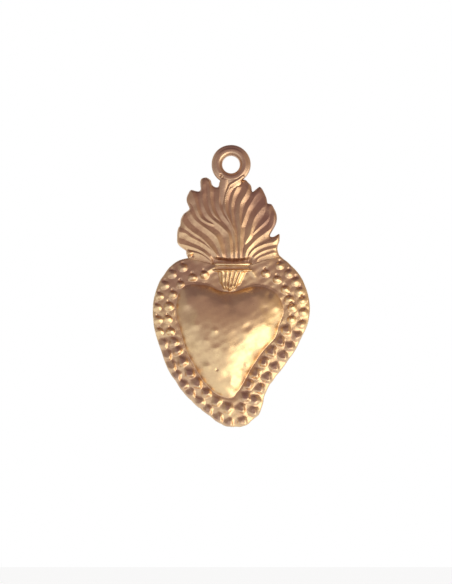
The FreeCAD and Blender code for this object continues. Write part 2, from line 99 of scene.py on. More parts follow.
def write_layer(mesh, name, values):
    """Keeps one number for each vertex in a named attribute, for the brass to read."""
    layer = mesh.attributes.new(name, "FLOAT", "POINT")
    layer.data.foreach_set("value", values.astype(np.float32))


def smooth_run(corners, steps=6):
    """A flowing line drawn through given places, as an array of close points."""
    drawn = []
    places = [np.array(place, float) for place in corners]
    first = 2 * places[0] - places[1]
    last = 2 * places[-1] - places[-2]
    run = [first, *places, last]
    for n in range(1, len(run) - 2):
        before, here, beyond, after = run[n - 1:n + 3]
        for step in range(steps):
            t = step / steps
            drawn.append(0.5 * (
                2 * here + (beyond - before) * t
                + (2 * before - 5 * here + 4 * beyond - after) * t ** 2
                + (3 * here - before - 3 * beyond + after) * t ** 3
            ))
    drawn.append(places[-1])
    return np.array(drawn)


def walk_loop(loop, count):
    """So many evenly spaced places round a closed line."""
    closed = np.vstack([loop, loop[:1]])
    strides = np.hypot(*np.diff(closed, axis=0).T)
    gone = np.concatenate([[0], np.cumsum(strides)])
    wanted = np.linspace(0, gone[-1], count, endpoint=False)
    return np.column_stack([np.interp(wanted, gone, closed[:, k]) for k in (0, 1)])


def nearest_on_run(places, run):
    """Distance from each place to a drawn line, and how far along it that is (0 to 1)."""
    starts = run[:-1]
    strides = run[1:] - starts
    shortest = 1e-9
    lengths = np.maximum(np.hypot(*strides.T), shortest)
    gone = np.concatenate([[0], np.cumsum(lengths)])
    best = np.full(len(places), np.inf)
    along = np.zeros(len(places))
    for n in range(len(starts)):
        away = places - starts[n]
        t = np.clip((away @ strides[n]) / lengths[n] ** 2, 0, 1)
        off = away - t[:, None] * strides[n]
        far = np.hypot(*off.T)
        nearer = far < best
        best[nearer] = far[nearer]
        along[nearer] = (gone[n] + t[nearer] * lengths[n]) / gone[-1]
    return best, along


def ease(value, start, end):
    """Runs smoothly from 0 at start to 1 at end."""
    t = np.clip((value - start) / (end - start), 0, 1)
    return t * t * (3 - 2 * t)


def hump(value, middle, spread):
    """A soft swelling: 1 at its middle, fading away over its spread."""
    return np.exp(-((value - middle) / spread) ** 2)


def round_spot(places, x, z, radius):
    """A soft round spot on the front: 1 at its middle, fading away over its radius."""
    return np.exp(-((places[:, 0] - x) ** 2 + (places[:, 2] - z) ** 2) / radius ** 2)


def bent_round(across, up, power):
    """Distance from a middle, by which a circle turns into a rounded square as the power grows."""
    return (np.abs(across) ** power + np.abs(up) ** power) ** (1 / power)


# Free edge of the heart's border from the left shoulder round the tail to the right one.
HEART_EDGE = (
    (-5.46, -11.87), (-6.10, -12.00), (-6.73, -12.22), (-7.37, -12.64), (-8.00, -13.23),
    (-8.57, -14.06), (-9.02, -14.69), (-9.40, -15.58), (-9.65, -16.34), (-9.84, -17.11),
    (-9.94, -17.87), (-9.97, -18.76), (-9.91, -19.77), (-9.78, -20.79), (-9.53, -21.81),
    (-9.21, -22.82), (-8.89, -23.71), (-8.38, -25.23), (-7.75, -26.57), (-7.11, -27.46),
    (-6.35, -28.66), (-5.21, -29.93), (-3.94, -31.08), (-2.67, -32.03), (-1.78, -32.73),
    (-0.76, -33.27), (-0.13, -33.36), (0.76, -33.46), (1.52, -33.30), (2.16, -33.05),
    (2.67, -32.66), (3.17, -32.22), (3.56, -31.84), (3.87, -31.20), (4.13, -30.44),
    (4.25, -29.68), (4.45, -29.17), (4.70, -28.60), (5.05, -27.97), (5.71, -27.08),
    (6.35, -26.25), (6.86, -25.55), (7.30, -24.85), (8.13, -23.71), (8.70, -22.57),
    (9.07, -21.81), (9.40, -21.17), (9.72, -20.41), (9.91, -19.65), (10.03, -18.76),
    (10.03, -17.87), (9.91, -16.98), (9.72, -16.22), (9.46, -15.46), (9.14, -14.69),
    (8.76, -14.06), (8.26, -13.42), (7.75, -12.92), (7.24, -12.41), (6.73, -12.03),
    (6.22, -11.58),
)
# Where the heart's sheet and the flames' sheet meet, from right to left.
JOINT = ((6.20, -11.60), (2.70, -12.70), (-2.36, -12.70), (-5.45, -11.90))

# Foot of the puffed heart, from the cleft round by the left lobe, the point and the
# right lobe back to the cleft.
PUFF_EDGE = (
    (0.00, -16.09), (-1.40, -15.95), (-2.60, -15.30), (-3.81, -15.10), (-5.33, -15.02),
    (-6.55, -15.60), (-7.15, -17.65), (-7.10, -19.45), (-6.42, -21.80), (-5.82, -23.75),
    (-4.80, -25.70), (-3.75, -27.50), (-2.40, -28.98), (-0.90, -29.80), (0.38, -29.90),
    (1.37, -28.41), (2.11, -27.01), (3.12, -25.23), (4.29, -23.58), (5.75, -22.06),
    (6.18, -20.54), (6.92, -18.76), (6.73, -17.61), (5.90, -16.20), (4.60, -15.50),
    (3.12, -15.28), (1.78, -15.58), (0.80, -15.95),
)

# Middles of the beads, in each row from the upper left round the tail to the upper right.
OUTER_BEADS = (
    (-6.10, -13.04), (-7.49, -13.87), (-8.45, -15.27), (-9.10, -16.66), (-9.40, -18.12),
    (-9.30, -19.70), (-9.10, -21.20), (-8.65, -22.75), (-8.13, -24.22), (-7.62, -25.60),
    (-6.95, -26.85), (-6.15, -28.00), (-5.18, -29.05), (-4.08, -30.15), (-2.95, -31.20),
    (-1.70, -32.20), (-0.32, -32.80), (1.45, -32.65), (2.85, -31.33), (3.05, -29.93),
    (3.68, -28.47), (4.60, -27.05), (5.55, -25.75), (6.62, -24.35), (7.45, -23.08),
    (8.40, -21.80), (9.00, -20.28), (9.22, -18.76), (9.10, -17.23), (8.76, -16.08),
    (8.25, -14.82), (7.37, -13.80), (6.22, -12.79),
)
INNER_BEADS = (
    (-3.37, -14.00), (-4.89, -14.31), (-6.40, -15.20), (-7.37, -16.47), (-7.87, -17.93),
    (-8.00, -19.60), (-7.68, -21.17), (-7.30, -22.50), (-6.86, -23.58), (-6.22, -24.98),
    (-5.27, -26.50), (-4.32, -27.77), (-3.18, -28.98), (-1.90, -30.06), (-0.45, -30.89),
    (1.27, -30.95), (1.78, -29.49), (2.22, -27.90), (3.05, -26.50), (4.12, -25.04),
    (5.08, -23.71), (6.22, -22.44), (6.98, -20.98), (7.68, -19.65), (7.75, -18.12),
    (7.37, -17.11), (6.86, -15.84), (5.84, -14.57), (4.38, -13.80),
)

# Marks left by the striking and by wear: place, radius and how far out or in they go.
HAMMER_MARKS = (
    (-2.05, -21.05, 0.42, 0.09), (-3.15, -22.35, 0.45, 0.06), (-1.95, -23.30, 0.45, 0.05),
    (-3.20, -25.70, 0.70, 0.20), (-1.75, -25.95, 0.24, -0.10), (-5.75, -17.60, 0.80, 0.10),
    (-5.20, -19.10, 0.75, -0.07), (-4.55, -20.40, 0.70, 0.09), (-5.00, -22.50, 0.85, -0.08),
    (4.75, -20.90, 0.95, 0.12), (2.10, -20.60, 0.55, -0.06), (3.40, -22.60, 0.90, -0.11),
    (2.45, -23.95, 0.80, 0.12), (1.90, -25.30, 0.80, -0.11), (1.90, -25.35, 0.28, -0.06),
    (1.25, -26.35, 0.60, 0.11), (0.10, -27.75, 0.60, 0.11), (0.72, -27.30, 0.60, -0.07),
    (0.55, -28.85, 0.40, -0.08), (-1.10, -27.20, 0.80, -0.08), (4.85, -16.55, 0.48, -0.10),
    (3.05, -16.60, 0.75, 0.09), (-3.60, -16.40, 0.80, 0.09), (-4.45, -16.25, 0.40, -0.05),
    (-0.60, -17.75, 0.55, 0.08), (1.20, -18.60, 0.80, -0.07), (4.20, -18.20, 0.60, -0.06),
    (5.80, -18.10, 0.50, 0.06), (0.60, -22.00, 1.00, -0.06), (-0.60, -24.20, 0.80, 0.06),
    (-2.30, -19.60, 0.90, 0.05), (-0.40, -26.60, 0.60, -0.06),
)

# Folds beside the neck: path, height and spread of each.
WINGS = (
    (((-2.20, -13.15), (-2.90, -13.45), (-3.60, -13.90)), 0.26, 0.32),
    (((2.30, -13.30), (2.65, -13.65), (2.95, -14.10)), 0.24, 0.26),
)

# Middles from which the rings of the two blanks spread out.
SHELL_MIDDLE = np.array((0.13, -21.05))
FAN_MIDDLE = np.array((0.13, -12.41))

# The heart's section: how low the border's free edge lies under the sheet's thickness, how
# wide and high the border arches up from there, how far the dome stands over it, where the
# cleft is, how large a bead is, how strongly the hammer marks count, and the lowest and the
# highest that the front may be.
EDGE_DROP = 0.24
ARCH_WIDTH = 2.4
ARCH_RISE = 0.56
DOME_RISE = 2.60
CLEFT_X = -0.1
BEAD_RADIUS = 0.63
HAMMER_STRENGTH = 1.35
LOWEST_FRONT = 0.29
HIGHEST_FRONT = 3.05


def puffed_cushion(edge):
    """Height of a sheet blown out over an outline, from 0 to 1, on a fine grid."""
    step = 0.1
    margin = 2 * step
    passes = 2600
    loop = np.vstack([smooth_run(edge), np.array(edge[:1])])
    low = loop.min(0) - margin
    across, up = (np.ceil((loop.max(0) + margin - low) / step)).astype(int)
    grid_x, grid_z = np.meshgrid(low[0] + step * np.arange(across), low[1] + step * np.arange(up))
    inside = np.zeros(grid_x.shape, bool)
    for start, end in zip(loop, np.roll(loop, -1, axis=0)):
        if start[1] == end[1]:
            continue
        crosses = (start[1] > grid_z) != (end[1] > grid_z)
        left_of = grid_x < (end[0] - start[0]) * (grid_z - start[1]) / (end[1] - start[1]) + start[0]
        inside ^= crosses & left_of
    blown = np.zeros(grid_x.shape)
    for _ in range(passes):
        neighbours = blown[2:, 1:-1] + blown[:-2, 1:-1] + blown[1:-1, 2:] + blown[1:-1, :-2]
        blown[1:-1, 1:-1] = inside[1:-1, 1:-1] * 0.25 * (neighbours + step * step)
    return low, step, blown / blown.max()


PUFF = puffed_cushion(PUFF_EDGE)


def read_grid(places, grid):
    """Value of a fine grid at each place, blended between its cells."""
    low, step, values = grid
    spots = (places - low) / step
    rows, columns = values.shape
    just_inside = 1.001
    x = np.clip(spots[:, 0], 0, columns - just_inside)
    z = np.clip(spots[:, 1], 0, rows - just_inside)
    column = x.astype(int)
    row = z.astype(int)
    right = x - column
    above = z - row
    lower = values[row, column] * (1 - right) + values[row, column + 1] * right
    upper = values[row + 1, column] * (1 - right) + values[row + 1, column + 1] * right
    return lower * (1 - above) + upper * above


def rough_swell(places, stride, depth):
    """Slow unevenness of hand work, from a few crossing waves."""
    x, z = (places / stride).T
    wave = (np.sin(1.9 * x + 0.7 * z + 1.3) + np.sin(-1.1 * x + 2.1 * z + 4.0)
            + np.sin(0.6 * x - 1.7 * z + 2.2) * np.cos(1.3 * x + 0.4 * z))
    return depth * wave / 3


def neck_relief(places):
    """Fluted neck under the collar: how far it stands over the sheet."""
    x = places[:, 0]
    z = places[:, 1]
    neck_top = -13.45
    neck_length = 2.5
    flutes = 6.2
    down = np.clip((neck_top - z) / neck_length, 0, 1)
    leaning_middle = 0.12 - 0.34 * down
    half_width = 1.86 - 0.82 * down + 0.62 * hump(z, -13.42, 0.17)
    across = (x - leaning_middle) / half_width
    body = np.clip(1 - np.abs(across) ** 3, 0, 1) ** 0.7
    ribs = 0.5 + 0.5 * np.cos(across * math.pi * flutes + 0.5 + 0.4 * np.sin(2 * z))
    ragged_end = -16.05 + 0.75 * np.abs(across) ** 2.2 + 0.10 * np.sin(9 * x)
    fades = ease(z, ragged_end - 0.12, ragged_end + 0.5)
    rim = 0.20 * hump(z, -13.50, 0.14)
    height = (0.34 + 0.30 * (1 - down) + 0.24 * ribs) * body * fades + rim * body
    return height * (1 - ease(z, -13.44, -13.30))


def wing_relief(places):
    """Small folds that run from the collar's ends down onto the border."""
    lift = np.zeros(len(places))
    for path, rise, spread in WINGS:
        far, along = nearest_on_run(places, smooth_run(path, 4))
        lift = np.maximum(lift, rise * (1 - 0.5 * along) * np.exp(-(far / spread) ** 1.6))
    return lift


def dome_rise(x, z, cushion):
    """How far the puffed heart stands out: creased below the cleft, with a softer foot in places."""
    crease = 0.20 * hump(x, -0.15, 0.80) * ease(z, -19.5, -16.4)
    fillet = 0.030 + 0.105 * ease(z, -16.4, -19.0)
    near_cleft = ease(np.abs(x - CLEFT_X), 3.6, 1.4) * ease(z, -18.0, -16.4)
    left_flank = ease(x, -1.5, -5.0) * ease(z, -14.5, -17.5)
    point = ease(z, -21.5, -24.5)
    soft_foot = left_flank + point + near_cleft
    foot = 1 - 0.70 * np.clip(soft_foot, 0, 1) * np.exp(-cushion / 0.06)
    return DOME_RISE * (foot * cushion ** 2 / (cushion + fillet)) ** 0.72 * (1 - crease)


def bead_pressed(x, z):
    """0 for the scooped beads of the upper border, 1 for the flattened ones of the lower border."""
    scooped_above = -20.2
    pressed_below = -22.8
    slant = 0.11
    return float(ease(z - slant * x, scooped_above, pressed_below))


def scooped_bead(across, up):
    """Bead of the upper border: an oval swelling, highest at its upper left, under a small pit."""
    oval = bent_round(across * 1.02, up * 1.22 + 0.18, 2.2)
    tilt = 1 + 0.55 * (0.85 * up - 0.25 * across)
    pit = 0.20 * np.exp(-((across + 0.06) ** 2 + (up - 0.84) ** 2) / 0.075)
    return 0.38 * np.clip(1 - oval ** 2.2, 0, 1) * tilt - pit


def pressed_bead(across, up):
    """Bead of the lower border: a flattened lump, highest at its lower right."""
    lump = ease(bent_round(across, up, 2.6), 1.14, 0.36)
    tilt = 1 + 0.66 * (0.5 * across - 0.85 * up)
    return 0.32 * lump * tilt


def bead_relief(x, z, number, bead, inside):
    """How far one bead of a row stands over the sheet, weaker where it runs onto the dome."""
    bead_x, bead_z = bead
    pressed = bead_pressed(bead_x, bead_z)
    uneven = 0.04 * math.sin(number * 2.3 + bead_x)
    size = BEAD_RADIUS + uneven + 0.07 * pressed
    bent = 0.09 * pressed * np.sin(5.1 * x + 3.7 * z + 2.1 * number)
    across = (x - bead_x) / size + bent
    up = (z - bead_z) / size - bent
    lump = (1 - pressed) * scooped_bead(across, up) + pressed * pressed_bead(across, up)
    sunk_in_dome = 0.85 - 0.35 * pressed
    return lump * (1 - sunk_in_dome * inside)


def heart_relief(places, edge_in):
    """Height of the struck heart's front over its back plane."""
    x = places[:, 0]
    z = places[:, 1]
    cushion = np.clip(read_grid(places, PUFF), 0, 1)
    inside = ease(cushion, 0.0, 0.10)
    arched = 1 - np.clip(1 - edge_in / ARCH_WIDTH, 0, 1) ** 1.7
    border = SHEET - EDGE_DROP + ARCH_RISE * arched * (1 - 0.45 * inside)
    height = border + dome_rise(x, z, cushion)
    for row in (OUTER_BEADS, INNER_BEADS):
        for number, bead in enumerate(row):
            height += bead_relief(x, z, number, bead, inside)
    for mark_x, mark_z, size, out in HAMMER_MARKS:
        far = np.hypot(x - mark_x, z - mark_z) / size
        height += HAMMER_STRENGTH * out * np.exp(-far ** 2 * 1.4) * inside
    off_the_dome = 1 - 0.8 * ease(cushion, 0.02, 0.25)
    height += neck_relief(places) * off_the_dome + wing_relief(places)
    saddle = 0.30 * hump(x, CLEFT_X, 1.5) * hump(z, -15.95, 0.5)
    height += saddle
    height += rough_swell(places, 0.9, 0.035)
    height += rough_swell(places + 7.3, 0.34, 0.034 - 0.022 * inside)
    return np.clip(height, LOWEST_FRONT, HIGHEST_FRONT)


# Bright crests of the flames, from root to tip, then crest height at root and tip, and
# how far the crest spreads. A crest that starts above BRANCHES_ABOVE branches off another
# one. The others are drawn on down to behind the collar.
BRANCHES_ABOVE = -10.9
CRESTS_START = -12.5
CREST_STRENGTH = 0.72
FLAME_CRESTS = (
    (((-2.16, -11.27), (-3.00, -10.45), (-4.00, -9.80), (-5.10, -9.25), (-5.75, -8.75),
      (-6.65, -8.55)),
     0.45, 0.36, 0.50),
    (((-2.67, -11.90), (-3.76, -11.00), (-5.38, -10.36), (-6.65, -10.08)),
     0.45, 0.36, 0.40),
    (((-2.85, -12.10), (-4.11, -11.35), (-5.38, -11.12)),
     0.45, 0.36, 0.28),
    (((-1.90, -11.50), (-2.70, -10.40), (-3.75, -9.35), (-4.85, -8.60), (-5.60, -7.95),
      (-6.15, -7.20), (-6.25, -6.70)),
     0.50, 0.38, 0.50),
    (((-1.15, -11.30), (-1.75, -9.40), (-2.70, -8.50), (-3.60, -7.85), (-4.50, -7.10),
      (-5.00, -6.40), (-5.35, -5.75)),
     0.55, 0.40, 0.48),
    (((-0.95, -8.35), (-1.95, -7.75), (-3.05, -7.35), (-3.80, -6.80), (-4.20, -5.95),
      (-4.45, -5.00), (-4.80, -3.90), (-4.95, -3.45)),
     0.45, 0.42, 0.44),
    (((-0.05, -11.60), (-0.25, -9.15), (-0.90, -8.20), (-1.80, -7.45), (-2.70, -6.70),
      (-3.20, -5.90), (-3.55, -5.00), (-3.65, -4.00), (-3.60, -2.60)),
     0.60, 0.40, 0.48),
    (((-0.60, -8.10), (-1.45, -7.15), (-2.15, -6.30), (-2.50, -5.30), (-2.65, -4.20),
      (-2.70, -3.25), (-2.80, -2.20)),
     0.45, 0.38, 0.42),
    (((0.55, -11.60), (0.50, -9.50), (-0.10, -7.70), (-1.00, -6.40), (-1.50, -5.20),
      (-1.55, -4.10), (-1.50, -2.90)),
     0.52, 0.42, 0.44),
    (((0.85, -10.60), (0.55, -8.90), (-0.05, -7.40), (-0.65, -6.00), (-0.75, -4.95),
      (-0.60, -4.05), (-0.30, -3.30), (0.20, -2.80)),
     0.55, 0.55, 0.42),
    (((0.70, -9.60), (0.30, -7.80), (0.05, -6.30), (0.02, -5.20), (0.28, -3.90),
      (0.78, -2.80)),
     0.42, 0.46, 0.36),
    (((1.15, -11.60), (1.17, -9.60), (1.20, -8.05), (1.05, -6.85), (1.05, -5.65),
      (1.25, -4.75), (1.70, -4.00), (2.10, -3.20)),
     0.58, 0.44, 0.44),
    (((1.55, -10.85), (1.95, -9.75), (2.40, -8.95), (2.67, -7.75), (3.05, -6.70),
      (3.70, -5.80), (4.30, -5.15)),
     0.72, 0.40, 0.46),
    (((1.17, -9.80), (1.25, -8.30), (1.65, -6.90), (2.15, -5.55), (2.75, -4.55),
      (3.30, -3.55)),
     0.45, 0.40, 0.46),
    (((2.05, -10.00), (2.55, -9.10), (3.30, -8.25), (4.05, -7.55), (4.70, -6.80),
      (4.85, -6.10), (4.75, -5.40)),
     0.42, 0.34, 0.42),
    (((1.95, -11.05), (2.60, -10.20), (3.45, -9.35), (4.35, -8.70), (5.10, -8.10),
      (5.40, -7.30), (5.45, -6.50)),
     0.52, 0.40, 0.58),
    (((2.30, -11.60), (3.05, -10.70), (4.30, -10.10), (5.50, -9.80), (6.00, -9.30)),
     0.48, 0.36, 0.36),
    (((2.90, -11.80), (3.90, -11.10), (4.90, -10.75), (5.90, -10.55)),
     0.44, 0.34, 0.32),
    (((3.50, -11.95), (4.40, -11.55), (5.40, -11.20)),
     0.40, 0.32, 0.28),
)

# Free edge of the flames, from the left shoulder over the tips to the right one.
FAN_EDGE = (
    (-5.46, -11.87), (-5.59, -11.65), (-5.71, -11.26), (-5.71, -11.01), (-5.84, -10.88),
    (-6.22, -10.63), (-6.60, -10.31), (-6.84, -9.87), (-6.86, -9.23), (-6.84, -8.60),
    (-6.73, -8.09), (-6.48, -7.71), (-6.41, -7.07), (-6.22, -6.57), (-5.97, -6.22),
    (-5.59, -5.93), (-5.30, -5.61), (-5.52, -5.04), (-5.66, -4.53), (-5.59, -4.03),
    (-5.27, -3.39), (-5.02, -3.21), (-4.45, -3.37), (-4.06, -3.39), (-3.86, -3.14),
    (-3.90, -2.63), (-3.90, -2.12), (-3.76, -1.80), (-3.43, -1.66), (-3.05, -1.66),
    (-2.60, -1.99), (-2.48, -2.37), (-2.29, -2.69), (-1.91, -2.88), (-1.59, -2.76),
    (-1.50, -2.30), (-1.30, -2.16), (-0.60, -2.36), (0.10, -2.44), (0.90, -2.28),
    (1.60, -1.92), (1.91, -1.99), (2.16, -2.25), (2.48, -2.57), (2.60, -2.88),
    (2.67, -3.33), (2.79, -3.45), (3.17, -3.14), (3.62, -2.83), (3.94, -3.07),
    (4.25, -3.64), (4.51, -4.28), (4.61, -4.79), (4.70, -4.94), (4.95, -4.98),
    (5.21, -5.11), (5.46, -5.55), (5.71, -6.06), (5.84, -6.69), (5.78, -7.33),
    (5.59, -7.84), (5.27, -8.41), (5.02, -8.85), (4.97, -9.11), (5.21, -9.20),
    (5.59, -9.12), (5.91, -8.96), (6.08, -8.80), (6.18, -8.92), (6.19, -9.36),
    (6.14, -9.80), (5.97, -10.25), (5.91, -10.76), (6.03, -11.26), (6.18, -11.58),
)


def flame_relief(places, edge_in):
    """Height of the struck flames over their back plane: thin crests, scooped valleys."""
    x = places[:, 0]
    z = places[:, 1]
    lift = np.zeros(len(places))
    for path, root, tip, spread in FLAME_CRESTS:
        branch = path[0][1] > BRANCHES_ABOVE
        if not branch:
            path = ((0.9 * path[0][0], CRESTS_START), *path)
        far, along = nearest_on_run(places, smooth_run(path, 4))
        crest = CREST_STRENGTH * (root + (tip - root) * along)
        if branch:
            crest *= ease(along, -0.02, 0.34)
        slope = spread * (0.74 + 0.75 * along)
        lift = np.maximum(lift, crest * np.exp(-(far / slope) ** 1.15))
    low_at_roots = 0.45 + 0.55 * ease(z, -12.2, -11.0)
    low_at_right = 1 - 0.36 * ease(x, 1.6, 3.2)
    lift *= low_at_roots
    lift *= low_at_right
    web = 0.56 + 0.10 * ease(edge_in, 0.0, 0.7)
    sill = -11.85 - 0.16 * np.cos(0.9 * (x - 0.3))
    over_collar = 1 - ease(np.abs(x - 0.1), 2.0, 3.0)
    hollow = 0.32 * ease(z, sill + 0.20, sill - 0.40) * over_collar
    knob = 0.24 * np.exp(-(np.hypot(x + 5.20, z + 11.33) / 0.30) ** 2.5)
    pit = 0.14 * np.exp(-(np.hypot(x + 4.86, z + 11.55) / 0.16) ** 2)
    crests = lift * ease(edge_in, -0.05, 0.28)
    return web + crests + knob - pit - hollow + rough_swell(places, 0.5, 0.02)


# A struck sheet starts as a fine blank of many rings. WALL_RINGS of them stand up as the
# wall at the rim. The rim's front corner is rounded off, the back stays a little off the
# back plane, and points that fall together become one.
WALL_RINGS = 5
ROUND_OFF = 0.22
BACK_OFF = 0.02
MERGE_WITHIN = 0.00005


def rolled_outline(outline, middle, count):
    """Evenly spaced places round a sheet's outline, from due right and anticlockwise."""
    loop = walk_loop(outline, count)
    due_right = np.argmin(np.abs(np.arctan2(*(loop - middle).T[::-1])))
    loop = np.roll(loop, -due_right, axis=0)
    swing = np.unwrap(np.arctan2(*(loop - middle).T[::-1]))
    if swing[-1] < swing[0]:
        loop = np.roll(loop[::-1], 1, axis=0)
    return loop


def pressed_heights(ring, front_rings, edge_in, top):
    """Relief in front, an upright wall at the rim and the relief's soft inverse behind."""
    corner = np.clip(1 - edge_in / ROUND_OFF, 0, 1) ** 2.2
    hollow = np.maximum(top - SHEET, 0) * ease(edge_in, 0.3, 1.2)
    hollow *= 0.45 + 0.55 * ease(hollow, 0.25, 0.90)
    front = ring <= front_rings
    behind = ring >= front_rings + WALL_RINGS
    height = np.where(front, top - corner * ROUND_OFF, 0)
    height = np.where(behind, BACK_OFF + hollow, height)
    wall = ~front & ~behind
    down = (ring[wall] - front_rings) / WALL_RINGS
    height[wall] = (1 - down) * (top[wall] - ROUND_OFF) + down * BACK_OFF
    return height


def press_sheet(name, edge, middle, relief, columns, rings, front_rings, crowd):
    """A struck sheet from a fine blank: rolled into a flat pouch whose rim is the outline,
    with the relief pressed into its front and, more softly, into its back."""
    deselect_all()
    bpy.ops.mesh.primitive_grid_add(x_subdivisions=columns, y_subdivisions=rings, size=2)
    piece = bpy.context.object
    name_piece(piece, name)
    mesh = piece.data
    blank = read_places(mesh)
    ring = np.rint((blank[:, 1] + 1) / 2 * rings).astype(int)
    column = np.rint((blank[:, 0] + 1) / 2 * columns).astype(int) % columns
    rim = rolled_outline(np.vstack([edge, np.array(JOINT[1:-1])]), middle, columns)
    share = np.ones(len(blank))
    front = ring <= front_rings
    share[front] = (ring[front] / front_rings) ** crowd
    behind = ring >= front_rings + WALL_RINGS
    share[behind] = (rings - ring[behind]) / (rings - front_rings - WALL_RINGS)
    places = middle + (rim[column] - middle) * share[:, None]
    edge_in = nearest_on_run(places, edge[::2])[0]
    height = pressed_heights(ring, front_rings, edge_in, relief(places, edge_in))
    write_places(mesh, np.column_stack([places[:, 0], BACK_PLANE - height, places[:, 1]]))
    pick(piece)
    bpy.ops.object.mode_set(mode="EDIT")
    bpy.ops.mesh.select_all(action="SELECT")
    bpy.ops.mesh.remove_doubles(threshold=MERGE_WITHIN)
    bpy.ops.mesh.normals_make_consistent(inside=False)
    bpy.ops.object.mode_set(mode="OBJECT")
    piece.scale = (MM, MM, MM)
    bpy.ops.object.transform_apply(location=False, rotation=False, scale=True)
    bpy.ops.object.shade_smooth()
    return piece


def notched(edge):
    """Draws the lower edge in a little between the outer beads, as the striking left it."""
    beads = np.array(OUTER_BEADS)
    to_bead = np.hypot(*(edge[:, None, :] - beads[None, :, :]).transpose(2, 0, 1)).min(1)
    pull = 0.10 * ease(to_bead, 0.75, 1.10) * ease(edge[:, 1], -24.5, -27.5)
    inwards = SHELL_MIDDLE - edge
    return edge + inwards / np.hypot(*inwards.T)[:, None] * pull[:, None]


def make_heart_shell():
    """The struck heart with its border, beads and neck."""
    edge = notched(smooth_run(HEART_EDGE))
    return press_sheet(
        "struck_heart", edge, SHELL_MIDDLE, heart_relief,
        columns=640, rings=150, front_rings=112, crowd=0.86,
    )


def make_flame_fan():
    """The struck fan of flames."""
    edge = smooth_run(FAN_EDGE)
    return press_sheet(
        "struck_flames", edge, FAN_MIDDLE, flame_relief,
        columns=620, rings=140, front_rings=108, crowd=0.8,
    )


# The ring: radius of the middle of its section and of its outside, and the turned section
# as angle round that middle, distance from the ring's axis and place front to back.
RING_MIDDLE = 1.8
RING_OUTSIDE = 2.5
RING_SECTION = (
    (-180.0, 1.10, 0.25), (-150.0, 1.10, 0.45), (-120.0, 1.22, 0.59), (-90.0, 1.80, 0.60),
    (-60.0, 2.30, 0.59), (-30.0, 2.47, 0.45), (0.0, 2.50, 0.05), (22.0, 2.45, -0.18),
    (36.0, 2.34, -0.32), (50.0, 2.18, -0.385), (60.0, 2.08, -0.39), (68.0, 1.99, -0.51),
    (78.0, 1.92, -0.57), (90.0, 1.80, -0.585), (115.0, 1.56, -0.56), (135.0, 1.42, -0.47),
    (150.0, 1.30, -0.33), (165.0, 1.15, -0.16), (180.0, 1.10, 0.25),
)

# The ring's foot and tang, laid as tapered bars: place, width and height at each step.
LEFT_TONGUE = (
    (-0.75, -2.00, 1.30, 0.56), (-0.85, -2.60, 1.25, 0.50), (-1.00, -3.30, 1.20, 0.42),
    (-1.05, -4.30, 1.10, 0.34), (-1.00, -5.20, 0.95, 0.26), (-0.60, -6.30, 0.70, 0.18),
    (-0.10, -7.00, 0.30, 0.06),
)
SHOULDER = ((0.25, -2.00, 2.2, 0.56), (0.30, -2.40, 2.0, 0.48), (0.10, -2.80, 1.3, 0.38))
CREASE = (
    (1.45, -1.55, 0.60, 0.57), (0.95, -1.95, 0.60, 0.62), (0.40, -2.30, 0.55, 0.64),
    (-0.13, -2.68, 0.48, 0.62), (-0.38, -3.30, 0.38, 0.58),
)
SEAM = (
    (-0.38, -3.20, 0.38, 0.58), (-0.64, -4.00, 0.36, 0.55), (-0.76, -4.90, 0.34, 0.48),
    (-0.66, -6.00, 0.30, 0.40), (-0.30, -6.85, 0.20, 0.20),
)
# Pits where the ring's foot meets the flames: place, radius and depth.
SOLDER_PITS = ((-1.28, -1.42, 0.16, 0.26), (-1.02, -1.62, 0.11, 0.18))


def turned_ring():
    """Domed ring: a rounded section spun round the hanging hole."""
    deselect_all()
    bpy.ops.mesh.primitive_torus_add(
        major_segments=192,
        minor_segments=64,
        major_radius=RING_MIDDLE * MM,
        minor_radius=(RING_OUTSIDE - RING_MIDDLE) * MM,
        rotation=(QUARTER, 0, 0),
    )
    ring = bpy.context.object
    bpy.ops.object.transform_apply(location=False, rotation=True, scale=True)
    places = read_places(ring.data) / MM
    out = np.hypot(places[:, 0], places[:, 2])
    turn = np.arctan2(places[:, 2], places[:, 0])
    degrees = np.degrees(np.arctan2(-places[:, 1], out - RING_MIDDLE))
    angles, outs, depths = np.array(RING_SECTION).T
    new_out = np.interp(degrees, angles, outs)
    new_depth = np.interp(degrees, angles, depths)
    wobble = 1 + 0.006 * np.sin(3 * turn + 0.8) + 0.004 * np.sin(5 * turn + 2.0)
    worn = np.minimum(new_out * wobble, RING_OUTSIDE)
    new_out = np.where(new_out > RING_MIDDLE, worn, new_out)
    made = np.column_stack([new_out * np.cos(turn), new_depth, new_out * np.sin(turn)])
    write_places(ring.data, made * MM)
    return ring


def blob(place, size):
    """A rounded lump that is melted into the ring's root."""
    deselect_all()
    bpy.ops.mesh.primitive_ico_sphere_add(subdivisions=4, radius=1, location=[c * MM for c in place])
    lump = bpy.context.object
    lump.scale = [c * MM for c in size]
    bpy.ops.object.transform_apply(location=True, rotation=True, scale=True)
    return lump


def tang_run(steps):
    """Tapered round bar laid along a line, for the tang that flows over the flames."""
    tallest = 0.45
    sunk = 0.1
    lumps = []
    for x, z, width, height in smooth_run(steps, 8)[::2]:
        place = (x, BACK_PLANE - SHEET - height * 0.5, z)
        lumps.append(blob(place, (width / 2, height * 0.5 + sunk, min(width / 2, tallest))))
    return lumps


def join_pieces(first, others):
    """Makes several pieces one object that keeps the first one's name."""
    deselect_all()
    for other in others:
        other.select_set(True)
    first.select_set(True)
    bpy.context.view_layer.objects.active = first
    bpy.ops.object.join()
    return first


